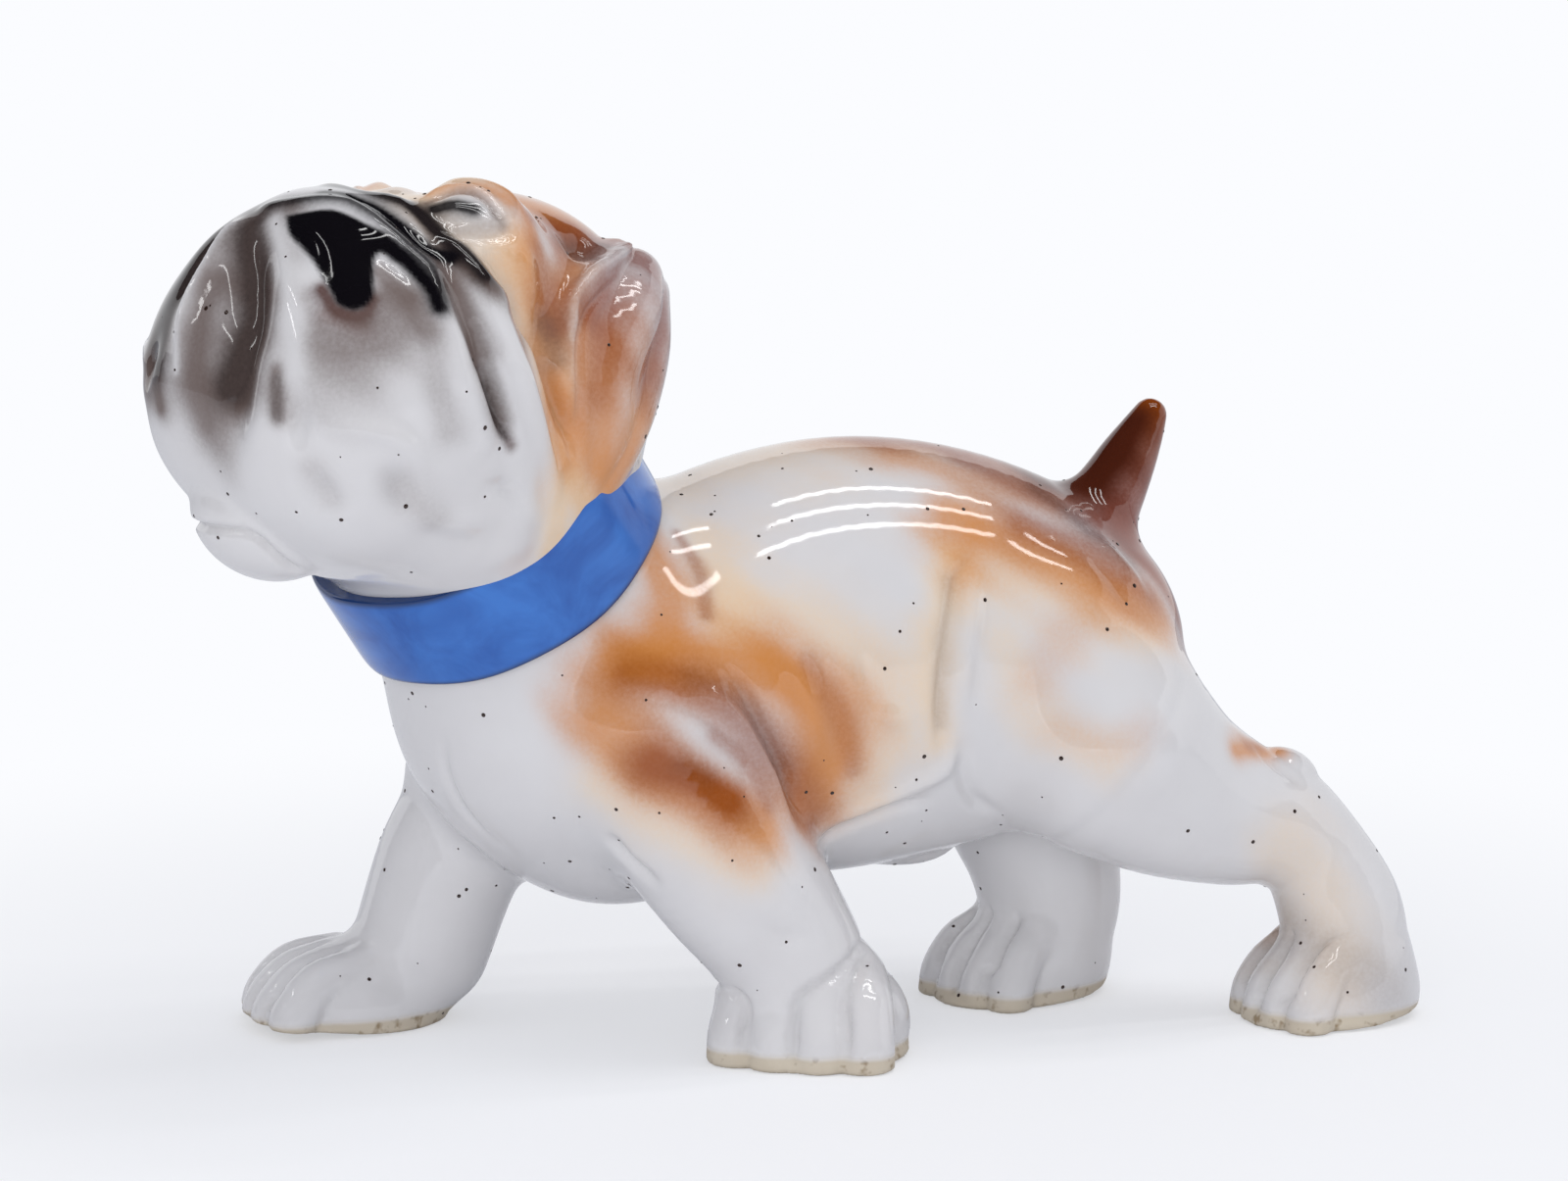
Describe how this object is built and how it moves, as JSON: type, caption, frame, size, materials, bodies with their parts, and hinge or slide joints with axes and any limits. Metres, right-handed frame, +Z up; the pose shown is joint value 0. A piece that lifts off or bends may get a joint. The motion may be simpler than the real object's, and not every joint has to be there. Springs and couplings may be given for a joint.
{
  "type": "dog figurine",
  "caption": "Glazed ceramic figurine of a stocky bulldog pup, walking with its head raised and turned to its left, in a plain blue relief collar.",
  "frame": {"origin": "on the table, under the middle of the overall box", "axes": "-X is the way the dog walks, -Y is its left side, +Z is up"},
  "size_m": [0.1665, 0.071, 0.1097],
  "materials": {
    "torso_glaze": "clear gloss glaze over white clay, airbrushed cream and brown",
    "head_glaze": "clear gloss glaze over white clay, airbrushed grey, black and brown",
    "ear_glaze": "clear gloss glaze over brown airbrushing",
    "collar_glaze": "hand-brushed cobalt blue under a clear gloss glaze",
    "leg_glaze": "clear gloss glaze over white clay, bare soles",
    "tail_glaze": "clear gloss glaze over red-brown airbrushing"
  },
  "bodies": {
    "root": {"torso_shell": "torso_glaze", "head_shell": "head_glaze", "left_ear": "ear_glaze", "right_ear": "ear_glaze", "collar_band": "collar_glaze", "left_foreleg": "leg_glaze", "right_foreleg": "leg_glaze", "left_hind_leg": "leg_glaze", "right_hind_leg": "leg_glaze", "tail": "tail_glaze"}
  },
  "joints": []
}
